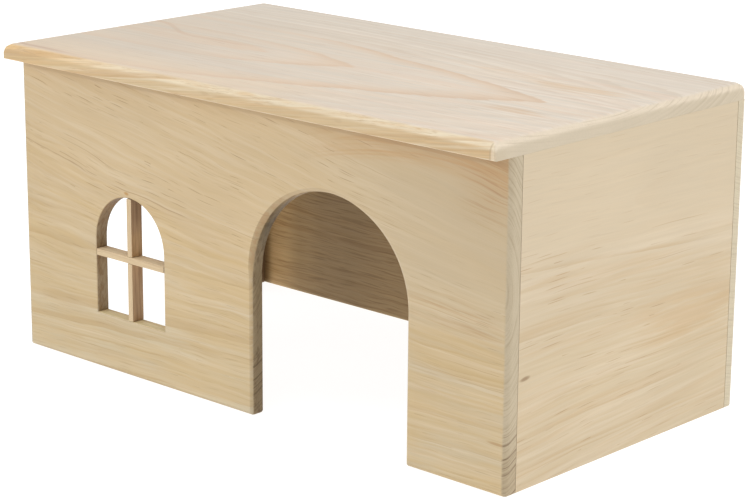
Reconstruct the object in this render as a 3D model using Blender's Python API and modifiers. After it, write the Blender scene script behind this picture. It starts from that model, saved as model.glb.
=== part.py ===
"""A rabbit house of planed pine boards.

Four walls carry a roof board that overhangs the front. The front wall has an arched door and an
arched window with two crossed slats, the left wall an arched side entrance, and there is no floor.
Blind wooden dowels hold every joint. The house stands on z = 0 with its front towards -Y, and the
origin is the middle of its footprint. All lengths are in metres.
"""
import bmesh
import bpy
from math import cos, pi, radians, sin
from mathutils import Matrix, Vector

# Walls and roof
HOUSE_LENGTH = 0.420
BODY_DEPTH = 0.224
WALL_HEIGHT = 0.1975
FRONT_THICKNESS = 0.009
BACK_THICKNESS = 0.009
SIDE_THICKNESS = 0.009
ROOF_THICKNESS = 0.0102
ROOF_OVERHANG = 0.0147
GLUE_GAP = 0.0003

# Door in the front wall, with a half-round head
DOOR_WIDTH = 0.1266
DOOR_HEIGHT = 0.153
DOOR_CENTRE_FROM_LEFT = 0.2798

# Side entrance in the left wall, with a half-round head
ENTRANCE_WIDTH = 0.1266
ENTRANCE_HEIGHT = 0.153

# Window in the front wall, with a half-round head, and its crossed slats
WINDOW_WIDTH = 0.0647
WINDOW_HEIGHT = 0.082
WINDOW_SILL = 0.0372
WINDOW_CENTRE_FROM_LEFT = 0.1041
SLAT_WIDTH = 0.0042
CROSS_SLAT_ABOVE_SILL = 0.041

# Rounded and eased edges
ROOF_TOP_RADIUS = 0.006
ROOF_CORNER_RADIUS = 0.0015
WALL_END_RADIUS = 0.004
DOOR_EDGE_RADIUS = 0.002
WINDOW_EDGE_RADIUS = 0.0006
FOOT_EDGE_RADIUS = 0.0012
EASED_EDGE_RADIUS = 0.0008

# Blind dowels: most of each one lies in a board's edge, the rest in the face of the board it meets
DOWEL_DIAMETER = 0.004
DOWEL_LENGTH = 0.016
DOWEL_IN_FACE = 0.005
DOWEL_CHAMFER = 0.0005
DOWEL_END_SPACE = 0.0005
CORNER_DOWEL_HEIGHT_SHARES = (0.14, 0.50, 0.86)
ROOF_DOWEL_LENGTH_SHARES = (0.10, 0.42, 0.90)
SIDE_DOWEL_DEPTH_SHARE = 0.5

# Fineness of the round shapes, and how far a cutter runs past what it cuts
ARCH_SEGMENTS = 32
WINDOW_ARCH_SEGMENTS = 24
DOWEL_SEGMENTS = 20
ROUNDING_SEGMENTS = 4
CUT_OVERRUN = 0.005
SAME_PLACE = 0.00001
FLAT_ANGLE = radians(5)
SMOOTH_ANGLE = radians(35)

# Places that follow from the sizes
RIGHT_X = HOUSE_LENGTH / 2
LEFT_X = -RIGHT_X
ROOF_FRONT_Y = -(BODY_DEPTH + ROOF_OVERHANG) / 2
FRONT_Y = ROOF_FRONT_Y + ROOF_OVERHANG
BACK_Y = FRONT_Y + BODY_DEPTH
FRONT_INNER_Y = FRONT_Y + FRONT_THICKNESS
BACK_INNER_Y = BACK_Y - BACK_THICKNESS
ROOF_UNDER_Z = WALL_HEIGHT + GLUE_GAP
ROOF_TOP_Z = ROOF_UNDER_Z + ROOF_THICKNESS
DOOR_X = LEFT_X + DOOR_CENTRE_FROM_LEFT
WINDOW_X = LEFT_X + WINDOW_CENTRE_FROM_LEFT
WINDOW_TOP_Z = WINDOW_SILL + WINDOW_HEIGHT
CROSS_SLAT_Z = WINDOW_SILL + CROSS_SLAT_ABOVE_SILL
ENTRANCE_Y = (FRONT_Y + BACK_Y) / 2

# Colours of the wood, as linear red, green and blue
ROOF_COLOUR = (0.76, 0.66, 0.54)
FRONT_COLOUR = (0.66, 0.51, 0.31)
SIDE_COLOUR = (0.70, 0.57, 0.40)
BACK_COLOUR = (0.66, 0.53, 0.35)
SLAT_COLOUR = (0.70, 0.54, 0.33)
DOWEL_COLOUR = (0.72, 0.55, 0.36)
WOOD_ROUGHNESS = 0.55


def clear_scene():
    for thing in list(bpy.context.scene.objects):
        bpy.data.objects.remove(thing, do_unlink=True)


def new_collection(name):
    collection = bpy.data.collections.new(name)
    bpy.context.scene.collection.children.link(collection)
    return collection


def wood(name, colour):
    """A bare planed wood of one colour, with no varnish."""
    material = bpy.data.materials.new(name)
    material.use_nodes = True
    shader = material.node_tree.nodes["Principled BSDF"]
    shader.inputs["Base Color"].default_value = (*colour, 1)
    shader.inputs["Roughness"].default_value = WOOD_ROUGHNESS
    shader.inputs["Metallic"].default_value = 0
    return material


def object_from(shape, name, collection, place):
    """Turn a finished bmesh into an object in a collection, at its place."""
    bmesh.ops.recalc_face_normals(shape, faces=shape.faces)
    mesh = bpy.data.meshes.new(name)
    shape.to_mesh(mesh)
    shape.free()
    made = bpy.data.objects.new(name, mesh)
    made.matrix_world = place
    collection.objects.link(made)
    return made


def as_cutter(made):
    made.display_type = "WIRE"
    made.hide_render = True
    return made


def box(name, collection, low, high):
    """A box between two opposite corners, with its origin in its middle."""
    low = Vector(low)
    high = Vector(high)
    shape = bmesh.new()
    bmesh.ops.create_cube(shape, size=1, matrix=Matrix.Diagonal((*(high - low), 1)))
    return object_from(shape, name, collection, Matrix.Translation((low + high) / 2))


def rod(name, collection, centre, axis, diameter, length, chamfer):
    """A round rod about its centre, along an axis, with chamfered ends where chamfer isn't zero."""
    shape = bmesh.new()
    bmesh.ops.create_cone(
        shape,
        cap_ends=True,
        segments=DOWEL_SEGMENTS,
        radius1=diameter / 2,
        radius2=diameter / 2,
        depth=length,
    )
    if chamfer:
        caps = [face for face in shape.faces if len(face.verts) == DOWEL_SEGMENTS]
        rims = [edge for cap in caps for edge in cap.edges]
        bmesh.ops.bevel(shape, geom=rims, offset=chamfer, segments=1, affect="EDGES")
    turn = Vector((0, 0, 1)).rotation_difference(Vector(axis)).to_matrix().to_4x4()
    return object_from(shape, name, collection, Matrix.Translation(centre) @ turn)


def arch_outline(width, height, foot, segments):
    """Points of two jambs under a half-round head; the jambs start a foot below the base line."""
    radius = width / 2
    spring = height - radius
    turns = [pi * (1 - step / segments) for step in range(segments + 1)]
    head = [(radius * cos(turn), spring + radius * sin(turn)) for turn in turns]
    return [(-radius, -foot), *head, (radius, -foot)]


def arch_prism(name, collection, outline, base, facing, depth):
    """Stand an outline on its base point and extrude it by half the depth to both sides.

    Facing turns it about Z: 0 sets its width along X, and a quarter turn sets it along Y."""
    curve = bpy.data.curves.new(name, "CURVE")
    curve.dimensions = "2D"
    curve.fill_mode = "BOTH"
    curve.extrude = depth / 2
    spline = curve.splines.new("POLY")
    spline.points.add(len(outline) - 1)
    for point, (across, up) in zip(spline.points, outline):
        point.co = (across, up, 0, 1)
    spline.use_cyclic_u = True
    drawn = bpy.data.objects.new(name + "_outline", curve)
    upright = Matrix.Rotation(facing, 4, "Z") @ Matrix.Rotation(pi / 2, 4, "X")
    drawn.matrix_world = Matrix.Translation(base) @ upright
    collection.objects.link(drawn)
    return solid_from_curve(drawn, name, collection)


def solid_from_curve(drawn, name, collection):
    """Weld a curve's filled caps into one closed mesh, and remove the curve."""
    bpy.context.view_layer.update()
    evaluated = drawn.evaluated_get(bpy.context.evaluated_depsgraph_get())
    mesh = bpy.data.meshes.new_from_object(evaluated)
    shape = bmesh.new()
    shape.from_mesh(mesh)
    bpy.data.meshes.remove(mesh)
    bmesh.ops.remove_doubles(shape, verts=shape.verts, dist=SAME_PLACE)
    bmesh.ops.dissolve_limit(shape, angle_limit=FLAT_ANGLE / 2, verts=shape.verts, edges=shape.edges)
    made = object_from(shape, name, collection, drawn.matrix_world)
    bpy.data.objects.remove(drawn, do_unlink=True)
    return made


def combine(board, cutters, operation="DIFFERENCE"):
    """Cut a board with each cutter in turn, or keep what it shares with them, and apply the result."""
    for cutter in cutters:
        modifier = board.modifiers.new(cutter.name, "BOOLEAN")
        modifier.operation = operation
        modifier.object = cutter
    bpy.context.view_layer.update()
    evaluated = board.evaluated_get(bpy.context.evaluated_depsgraph_get())
    mesh = bpy.data.meshes.new_from_object(evaluated)
    board.modifiers.clear()
    board.data = mesh
    mesh.name = board.name


def round_edges(board, radius_at):
    """Add a Bevel whose width at each sharp edge is radius_at(the middle of the edge)."""
    shape = bmesh.new()
    shape.from_mesh(board.data)
    shape.transform(board.matrix_world)
    widths = []
    for edge in shape.edges:
        sharp = edge.calc_face_angle(0) > FLAT_ANGLE
        middle = (edge.verts[0].co + edge.verts[1].co) / 2
        widths.append(radius_at(middle) if sharp else 0)
    shape.free()
    widest = max(widths)
    weights = board.data.attributes.new("bevel_weight_edge", "FLOAT", "EDGE")
    weights.data.foreach_set("value", [width / widest for width in widths])
    bevel = board.modifiers.new("rounding", "BEVEL")
    bevel.limit_method = "WEIGHT"
    bevel.width = widest
    bevel.segments = ROUNDING_SEGMENTS
    bevel.use_clamp_overlap = False


def finish(piece, colour):
    """Give a piece its own material and smooth shading between its sharp edges."""
    piece.data.materials.append(wood(piece.name, colour))
    piece.data.shade_smooth()
    piece.data.set_sharp_from_angle(angle=SMOOTH_ANGLE)


def carry(parts):
    """Hang every piece on one empty at the origin, which moves the whole house."""
    carrier = bpy.data.objects.new("house_origin", None)
    for piece in parts.objects:
        piece.parent = carrier
    parts.objects.link(carrier)


def same(one, other):
    return abs(one - other) < SAME_PLACE


def within(value, low, high):
    return low - SAME_PLACE < value < high + SAME_PLACE


def in_arch(across, up, centre, width, base, height):
    """Whether a point of a wall's face lies in the box round an arched opening."""
    return within(across, centre - width / 2, centre + width / 2) and within(up, base, base + height)


def roof_radius(middle):
    """Round the roof's top edges, ease its upright corners and its lower front edge."""
    at_end = same(abs(middle.x), RIGHT_X)
    at_front = same(middle.y, ROOF_FRONT_Y)
    at_side = at_front or same(middle.y, BACK_Y)
    if same(middle.z, ROOF_TOP_Z) and (at_end or at_side):
        return ROOF_TOP_RADIUS
    if at_end and at_side:
        return ROOF_CORNER_RADIUS
    if at_front and same(middle.z, ROOF_UNDER_Z):
        return EASED_EDGE_RADIUS
    return 0


def front_radius(middle):
    """Round the front wall's upright ends, its door and its foot, and ease its window."""
    on_face = same(middle.y, FRONT_Y)
    if same(middle.z, 0):
        return FOOT_EDGE_RADIUS
    if on_face and same(abs(middle.x), RIGHT_X):
        return WALL_END_RADIUS
    if in_arch(middle.x, middle.z, DOOR_X, DOOR_WIDTH, 0, DOOR_HEIGHT):
        if on_face:
            return DOOR_EDGE_RADIUS
        return EASED_EDGE_RADIUS if same(middle.y, FRONT_INNER_Y) else 0
    if on_face and in_arch(middle.x, middle.z, WINDOW_X, WINDOW_WIDTH, WINDOW_SILL, WINDOW_HEIGHT):
        return WINDOW_EDGE_RADIUS
    return 0


def back_radius(middle):
    """Round the back wall's upright ends and its foot."""
    if same(middle.z, 0):
        return FOOT_EDGE_RADIUS
    return WALL_END_RADIUS if same(middle.y, BACK_Y) and same(abs(middle.x), RIGHT_X) else 0


def side_radius(middle):
    """Round a side wall's foot, and the side entrance where the wall has one."""
    on_face = same(abs(middle.x), RIGHT_X)
    on_inside = same(abs(middle.x), RIGHT_X - SIDE_THICKNESS)
    at_foot = same(middle.z, 0)
    if at_foot and (on_face or on_inside):
        return FOOT_EDGE_RADIUS
    if in_arch(middle.y, middle.z, ENTRANCE_Y, ENTRANCE_WIDTH, 0, ENTRANCE_HEIGHT):
        if at_foot:
            return FOOT_EDGE_RADIUS
        if on_face:
            return DOOR_EDGE_RADIUS
        return EASED_EDGE_RADIUS if on_inside else 0
    return 0


def make_boards(parts):
    """The five boards as plain boxes, before their openings, bores and rounded edges."""
    side_low_y = FRONT_INNER_Y + GLUE_GAP
    side_high_y = BACK_INNER_Y - GLUE_GAP
    inner_x = RIGHT_X - SIDE_THICKNESS
    extents = {
        "roof_board": ((LEFT_X, ROOF_FRONT_Y, ROOF_UNDER_Z), (RIGHT_X, BACK_Y, ROOF_TOP_Z)),
        "front_panel": ((LEFT_X, FRONT_Y, 0), (RIGHT_X, FRONT_INNER_Y, WALL_HEIGHT)),
        "back_panel": ((LEFT_X, BACK_INNER_Y, 0), (RIGHT_X, BACK_Y, WALL_HEIGHT)),
        "right_side_panel": ((inner_x, side_low_y, 0), (RIGHT_X, side_high_y, WALL_HEIGHT)),
        "left_side_panel": ((LEFT_X, side_low_y, 0), (-inner_x, side_high_y, WALL_HEIGHT)),
    }
    return {name: box(name, parts, *corners) for name, corners in extents.items()}


def dowel_places():
    """Each dowel's name, its point in the joint, its direction into the face, and its two boards."""
    side_x = RIGHT_X - SIDE_THICKNESS / 2
    for side, x in (("left", -side_x), ("right", side_x)):
        for wall, y, inwards in (("front", FRONT_INNER_Y, -1), ("back", BACK_INNER_Y, 1)):
            for number, share in enumerate(CORNER_DOWEL_HEIGHT_SHARES, 1):
                point = (x, y, share * WALL_HEIGHT)
                boards = (wall + "_panel", side + "_side_panel")
                yield f"corner_dowel_{wall}_{side}_{number}", point, (0, inwards, 0), boards
        point = (x, FRONT_Y + SIDE_DOWEL_DEPTH_SHARE * BODY_DEPTH, WALL_HEIGHT)
        yield f"roof_dowel_{side}", point, (0, 0, 1), ("roof_board", side + "_side_panel")
    for wall, y in (("front", FRONT_Y + FRONT_THICKNESS / 2), ("back", BACK_Y - BACK_THICKNESS / 2)):
        for number, share in enumerate(ROOF_DOWEL_LENGTH_SHARES, 1):
            point = (LEFT_X + share * HOUSE_LENGTH, y, WALL_HEIGHT)
            yield f"roof_dowel_{wall}_{number}", point, (0, 0, 1), ("roof_board", wall + "_panel")


def make_dowels(parts, cutters):
    """The dowels, and for each board the bores that they sit in."""
    bores = {}
    for name, point, into_face, board_names in dowel_places():
        shift = DOWEL_IN_FACE + GLUE_GAP / 2 - DOWEL_LENGTH / 2
        centre = Vector(point) + shift * Vector(into_face)
        dowel = rod(name, parts, centre, into_face, DOWEL_DIAMETER, DOWEL_LENGTH, DOWEL_CHAMFER)
        finish(dowel, DOWEL_COLOUR)
        bore_diameter = DOWEL_DIAMETER + 2 * GLUE_GAP
        bore_length = DOWEL_LENGTH + 2 * DOWEL_END_SPACE
        bore = as_cutter(rod(name + "_bore", cutters, centre, into_face, bore_diameter, bore_length, 0))
        for board_name in board_names:
            bores.setdefault(board_name, []).append(bore)
    return bores


def make_openings(cutters):
    """The cutters of the door, the window and the side entrance."""
    wall_cut = FRONT_THICKNESS + 2 * CUT_OVERRUN
    wall_middle = FRONT_Y + FRONT_THICKNESS / 2
    door = arch_outline(DOOR_WIDTH, DOOR_HEIGHT, CUT_OVERRUN, ARCH_SEGMENTS)
    window = arch_outline(WINDOW_WIDTH, WINDOW_HEIGHT, 0, WINDOW_ARCH_SEGMENTS)
    entrance = arch_outline(ENTRANCE_WIDTH, ENTRANCE_HEIGHT, CUT_OVERRUN, ARCH_SEGMENTS)
    side_middle = LEFT_X + SIDE_THICKNESS / 2
    side_cut = SIDE_THICKNESS + 2 * CUT_OVERRUN
    return {
        "door": as_cutter(arch_prism("door_cut", cutters, door, (DOOR_X, wall_middle, 0), 0, wall_cut)),
        "window": as_cutter(
            arch_prism("window_cut", cutters, window, (WINDOW_X, wall_middle, WINDOW_SILL), 0, wall_cut)
        ),
        "entrance": as_cutter(
            arch_prism("entrance_cut", cutters, entrance, (side_middle, ENTRANCE_Y, 0), pi / 2, side_cut)
        ),
    }


def make_slats(parts, cutters):
    """Two slats that fill the window crosswise and lap where they meet, flush with the wall.

    The cross slat runs through in front, and the upright one behind it."""
    lap_y = FRONT_Y + FRONT_THICKNESS / 2
    half = SLAT_WIDTH / 2
    clear = half + GLUE_GAP
    past = half + CUT_OVERRUN
    reach = WINDOW_WIDTH / 2 + CUT_OVERRUN
    upright = box(
        "window_slat_upright",
        parts,
        (WINDOW_X - half, FRONT_Y, WINDOW_SILL - CUT_OVERRUN),
        (WINDOW_X + half, FRONT_INNER_Y, WINDOW_TOP_Z + CUT_OVERRUN),
    )
    cross = box(
        "window_slat_cross",
        parts,
        (WINDOW_X - reach, FRONT_Y, CROSS_SLAT_Z - half),
        (WINDOW_X + reach, FRONT_INNER_Y, CROSS_SLAT_Z + half),
    )
    front_notch = box(
        "upright_notch",
        cutters,
        (WINDOW_X - past, FRONT_Y - CUT_OVERRUN, CROSS_SLAT_Z - clear),
        (WINDOW_X + past, lap_y + GLUE_GAP / 2, CROSS_SLAT_Z + clear),
    )
    rear_notch = box(
        "cross_notch",
        cutters,
        (WINDOW_X - clear, lap_y - GLUE_GAP / 2, CROSS_SLAT_Z - past),
        (WINDOW_X + clear, FRONT_INNER_Y + CUT_OVERRUN, CROSS_SLAT_Z + past),
    )
    gap = GLUE_GAP
    outline = arch_outline(WINDOW_WIDTH - 2 * gap, WINDOW_HEIGHT - 2 * gap, 0, WINDOW_ARCH_SEGMENTS)
    base = (WINDOW_X, lap_y, WINDOW_SILL + gap)
    depth = FRONT_THICKNESS + 2 * CUT_OVERRUN
    clear_window = as_cutter(arch_prism("clear_window", cutters, outline, base, 0, depth))
    for slat, notch in ((upright, front_notch), (cross, rear_notch)):
        combine(slat, [clear_window], "INTERSECT")
        combine(slat, [as_cutter(notch)])
        finish(slat, SLAT_COLOUR)


def make_house():
    clear_scene()
    parts = new_collection("rabbit_house")
    cutters = new_collection("cutters")
    boards = make_boards(parts)
    bores = make_dowels(parts, cutters)
    openings = make_openings(cutters)
    plans = {
        "roof_board": (roof_radius, ROOF_COLOUR, []),
        "front_panel": (front_radius, FRONT_COLOUR, [openings["door"], openings["window"]]),
        "back_panel": (back_radius, BACK_COLOUR, []),
        "right_side_panel": (side_radius, SIDE_COLOUR, []),
        "left_side_panel": (side_radius, SIDE_COLOUR, [openings["entrance"]]),
    }
    for name, (radius_at, colour, holes) in plans.items():
        combine(boards[name], holes + bores[name])
        round_edges(boards[name], radius_at)
        finish(boards[name], colour)
    make_slats(parts, cutters)
    carry(parts)


make_house()
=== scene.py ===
"""The looks of the rabbit house: bare planed pine, seen at the photograph's angle on a pale floor.

The boards are built again at the same sizes, with rounder arches and finer roundings, and the slats and
dowels are carried over from the frame. Every wood is a solid grain: growth rings round a pith, fibres,
streaks and flecks that run through the board, so that faces, rounded edges and end grain of one board
belong together.
All lengths are in metres.
"""
from math import cos, pi, radians, sin

import bmesh
import bpy
from mathutils import Matrix, Vector


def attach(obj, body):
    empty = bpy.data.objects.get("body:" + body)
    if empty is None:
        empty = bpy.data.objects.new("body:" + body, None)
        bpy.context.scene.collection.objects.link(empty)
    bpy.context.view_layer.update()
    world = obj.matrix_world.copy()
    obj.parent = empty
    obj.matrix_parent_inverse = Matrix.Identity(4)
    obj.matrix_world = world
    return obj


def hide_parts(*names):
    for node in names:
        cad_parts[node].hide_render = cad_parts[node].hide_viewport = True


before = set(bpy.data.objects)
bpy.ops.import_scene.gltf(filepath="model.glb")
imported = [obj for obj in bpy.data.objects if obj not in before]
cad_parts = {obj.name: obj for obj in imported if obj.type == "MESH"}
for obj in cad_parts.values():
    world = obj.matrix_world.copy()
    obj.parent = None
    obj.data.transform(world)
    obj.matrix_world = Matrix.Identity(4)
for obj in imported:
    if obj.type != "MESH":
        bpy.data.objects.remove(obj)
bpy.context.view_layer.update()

# Camera, as fitted to the photograph's straight edges
IMAGE_WIDTH = 746
IMAGE_HEIGHT = 500
CAMERA_PLACE = Vector((1.01362, -1.08294, 0.49109))
CAMERA_AZIMUTH = radians(42.0)
CAMERA_ELEVATION = radians(15.293)
CAMERA_ROLL = radians(0.629)
FOCAL_PIXELS = 2386.8
CENTRE_PIXEL = (406.15, 249.79)
SENSOR_WIDTH = 36
SIGHT_RANGE = 100

# Studio, with each light's strength, width and the direction that it comes from
SURROUND_STRENGTH = 0.52
LIGHTS = {
    "top_light": (1.5, radians(60), (0.1, 0, 1)),
    "front_light": (0.64, radians(40), (-0.55, -0.7, 0.35)),
    "side_light": (0.71, radians(40), (0.85, 0.35, 0.35)),
}
WHITE = (1, 1, 1, 1)
FLOOR_SIZE = 40
FLOOR_TONE = (0.3, 0.3, 0.3, 1)
FLOOR_ROUGHNESS = 0.9
FLOOR_SHINE = 0.1
FLOOR_GLOW = 0.92

# Openings, at the same places as in the solid boards
DOOR_X = 0.0698
DOOR_WIDTH = 0.1266
DOOR_HEIGHT = 0.153
ENTRANCE_Y = 0.00735
WINDOW_X = -0.1059
WINDOW_WIDTH = 0.0647
WINDOW_HEIGHT = 0.082
WINDOW_SILL = 0.0372

# Rounded and eased edges, larger than the solids' at the roof's back corners, the doors and the feet
ROOF_TOP_RADIUS = 0.006
ROOF_CORNER_RADIUS = 0.0015
ROOF_BACK_CORNER_RADIUS = 0.0045
WALL_END_RADIUS = 0.004
DOOR_EDGE_RADIUS = 0.003
ARCH_EDGE_RADIUS = 0.005
WINDOW_EDGE_RADIUS = 0.0006
FOOT_EDGE_RADIUS = 0.002
EASED_EDGE_RADIUS = 0.0008

# Height of the arch's widest rounding, and how far above and below it the rounding narrows
ARCH_SHOULDER = 0.117
ARCH_EASE = 0.030

# How much higher than the solids the walls reach, since glue fills the gap under the roof
GLUE_LINE_FILLED = 0.00025

# Making of the meshes
ARCH_SEGMENTS = 96
ROUNDING_SEGMENTS = 10
CUT_OVERRUN = 0.005
SAME_PLACE = 0.00001
FLAT_ANGLE = radians(5)
SHARP_ANGLE = radians(35)
FLAT_FACE_WEIGHT = 100

# Faces of three boards, and how far outside them the pith of their grain lies
ROOF_TOP = 0.208
FRONT_FACE = -0.10465
SIDE_FACE = 0.210
ROOF_PITH_AWAY = 0.185
FRONT_PITH_AWAY = 0.11
SIDE_PITH_AWAY = 0.06

# Sizes along, across and through the board of what every grain has
BROAD_WAVE = (0.16, 0.05, 0.08)
SMALL_WAVE = (0.04, 0.014, 0.03)
FLAME_RAG = (0.05, 0.005, 0.01)
DASH_CROWD = (0.07, 0.03, 0.03)
CUT_RAG = (0.004, 0.002, 0.002)
CUT_PATCH = (0.02, 0.012, 0.012)
PORE = (0.0012, 0.0008, 0.0008)
FIBRE = (0.035, 0.0009, 0.0009)
BLOTCH = (0.09, 0.05, 0.05)

# Growth rings: how far their count drifts, how fast, where in a ring it is darkest and where its edge starts
RING_DRIFT = 2.2
RING_DRIFT_PACE = 0.45
RING_DARK_SHARE = 0.9
RING_EDGE_SHARE = 0.93

# Spacing of the fine rings on cut ends, and the fine rings in each broad one
END_RING = 0.0011
END_RINGS_IN_BROAD = 5

# Dashes: how many times the shortest's length the longest has, and how much they crowd
DASH_LENGTHS = 1.6
DASH_CROWDING = 0.35

# Roof's flames: each tip's place along the board with its strength, how far their soft and their dark band
# fade inwards, and the width of their outer edge
ROOF_FLAMES = ((-0.059, 0.8), (0.004, 0.75), (0.156, 0.8))
FLAME_FADE = 0.055
FLAME_DARK_FADE = 0.016
FLAME_EDGE = 0.005

# Surface
SHINE = 0.4
BUMP_STRENGTH = 0.25
BUMP_HEIGHT = 0.0002

# How far apart the noises of two seeds begin, and the Mix node's sockets for colours
SEED_STEP = (3.7, 5.3, 7.1)
MIX_COLOURS = (6, 7)
MIXED_COLOUR = 2


def make_camera():
    data = bpy.data.cameras.new("camera")
    data.sensor_width = SENSOR_WIDTH
    data.lens = FOCAL_PIXELS * SENSOR_WIDTH / IMAGE_WIDTH
    data.shift_x = (IMAGE_WIDTH / 2 - CENTRE_PIXEL[0]) / IMAGE_WIDTH
    data.shift_y = (CENTRE_PIXEL[1] - IMAGE_HEIGHT / 2) / IMAGE_WIDTH
    data.clip_end = SIGHT_RANGE
    back = Vector((
        sin(CAMERA_AZIMUTH) * cos(CAMERA_ELEVATION),
        -cos(CAMERA_AZIMUTH) * cos(CAMERA_ELEVATION),
        sin(CAMERA_ELEVATION),
    ))
    right = Vector((0, 0, 1)).cross(back).normalized()
    up = back.cross(right)
    turn = Matrix((right, up, back)).transposed() @ Matrix.Rotation(CAMERA_ROLL, 3, "Z")
    camera = bpy.data.objects.new("camera", data)
    camera.matrix_world = Matrix.Translation(CAMERA_PLACE) @ turn.to_4x4()
    bpy.context.scene.collection.objects.link(camera)
    bpy.context.scene.camera = camera


def make_studio():
    """An even white surround, a broad light overhead and low ones from the front left and the right."""
    bpy.context.scene.view_settings.view_transform = "Standard"
    world = bpy.data.worlds.new("studio")
    world.use_nodes = True
    background = world.node_tree.nodes["Background"]
    background.inputs["Color"].default_value = WHITE
    background.inputs["Strength"].default_value = SURROUND_STRENGTH
    bpy.context.scene.world = world
    for name, (strength, width, direction) in LIGHTS.items():
        light = bpy.data.lights.new(name, "SUN")
        light.energy = strength
        light.angle = width
        lamp = bpy.data.objects.new(name, light)
        lamp.rotation_euler = Vector(direction).to_track_quat("Z", "Y").to_euler()
        bpy.context.scene.collection.objects.link(lamp)


def make_floor():
    bpy.ops.mesh.primitive_plane_add(size=FLOOR_SIZE)
    floor = bpy.context.object
    floor.name = "floor"
    material = bpy.data.materials.new("floor")
    material.use_nodes = True
    shader = material.node_tree.nodes["Principled BSDF"]
    shader.inputs["Base Color"].default_value = FLOOR_TONE
    shader.inputs["Roughness"].default_value = FLOOR_ROUGHNESS
    shader.inputs["Specular IOR Level"].default_value = FLOOR_SHINE
    shader.inputs["Emission Color"].default_value = WHITE
    shader.inputs["Emission Strength"].default_value = FLOOR_GLOW
    floor.data.materials.append(material)


class Wood:
    """A wood whose nodes are added one by one. A method that adds a node gives the node's output."""

    def __init__(self, name, seed):
        self.material = bpy.data.materials.new(name)
        self.material.use_nodes = True
        self.nodes = self.material.node_tree.nodes
        self.links = self.material.node_tree.links
        self.shader = self.nodes["Principled BSDF"]
        self.seed = seed

    def next_seed(self):
        self.seed += 1
        return self.seed

    def put(self, socket, value):
        """Link a node's output to a socket, or set the socket to a value."""
        if isinstance(value, bpy.types.NodeSocket):
            self.links.new(value, socket)
        else:
            socket.default_value = value

    def fill(self, node, *values):
        """Put values into a node's first sockets."""
        for socket, value in zip(node.inputs, values):
            self.put(socket, value)
        return node.outputs[0]

    def math(self, operation, *values):
        node = self.nodes.new("ShaderNodeMath")
        node.operation = operation
        return self.fill(node, *values)

    def vector_math(self, operation, *values):
        node = self.nodes.new("ShaderNodeVectorMath")
        node.operation = operation
        return self.fill(node, *values)

    def vector(self, along, across, through):
        return self.fill(self.nodes.new("ShaderNodeCombineXYZ"), along, across, through)

    def split(self, vector):
        node = self.nodes.new("ShaderNodeSeparateXYZ")
        self.put(node.inputs[0], vector)
        return node.outputs

    def minus(self, one, other):
        return self.math("SUBTRACT", one, other)

    def times(self, product, *factors):
        for factor in factors:
            product = self.math("MULTIPLY", product, factor)
        return product

    def squares(self, one, other):
        """The sum of two squares."""
        return self.math("MULTIPLY_ADD", one, one, self.times(other, other))

    def spread(self, value, low, high, to_low=0, to_high=1):
        """Ease a value from one range to another, level outside it."""
        node = self.nodes.new("ShaderNodeMapRange")
        node.interpolation_type = "SMOOTHSTEP"
        return self.fill(node, value, low, high, to_low, to_high)

    def band(self, value, low, full_from, full_to, high):
        """1 in the middle of a range, easing to 0 at its ends."""
        return self.times(self.spread(value, low, full_from), self.spread(value, high, full_to))

    def line(self, value, centre, reach):
        """1 where a value is at a centre, easing to 0 at a reach from it."""
        apart = self.math("DIVIDE", self.minus(value, centre), reach)
        return self.spread(self.times(apart, apart), 0, 1, 1, 0)

    def lattice(self, place, size, seed):
        """Coordinates that grow by one over each size, begun at another place for each seed."""
        start = [seed * step for step in SEED_STEP]
        return self.vector_math("MULTIPLY_ADD", place, [1 / length for length in size], start)

    def noise(self, place, size, detail=2, roughness=0.5, seed=None):
        """Noise whose lumps have a size along, across and through the board."""
        node = self.nodes.new("ShaderNodeTexNoise")
        self.put(node.inputs["Vector"], self.lattice(place, size, seed or self.next_seed()))
        node.inputs["Scale"].default_value = 1
        node.inputs["Detail"].default_value = detail
        node.inputs["Roughness"].default_value = roughness
        return node.outputs[0]

    def swing(self, place, size, detail=2, roughness=0.5):
        """Noise that swings evenly below and above zero."""
        return self.minus(self.noise(place, size, detail, roughness), 0.5)

    def series(self, value):
        """Noise along a line."""
        node = self.nodes.new("ShaderNodeTexNoise")
        node.noise_dimensions = "1D"
        self.put(node.inputs["W"], value)
        node.inputs["Scale"].default_value = 1
        node.inputs["Detail"].default_value = 1
        return node.outputs[0]

    def chance(self, number):
        """A random value for each whole number."""
        node = self.nodes.new("ShaderNodeTexWhiteNoise")
        node.noise_dimensions = "1D"
        self.put(node.inputs["W"], number)
        return node.outputs[0]

    def mix(self, share, one, other):
        """A mixture of two tones, with a share of the other."""
        node = self.nodes.new("ShaderNodeMix")
        node.data_type = "RGBA"
        self.put(node.inputs[0], share)
        for socket, tone in zip(MIX_COLOURS, (one, other)):
            self.put(node.inputs[socket], tone if isinstance(tone, bpy.types.NodeSocket) else (*tone, 1))
        return node.outputs[MIXED_COLOUR]


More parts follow.
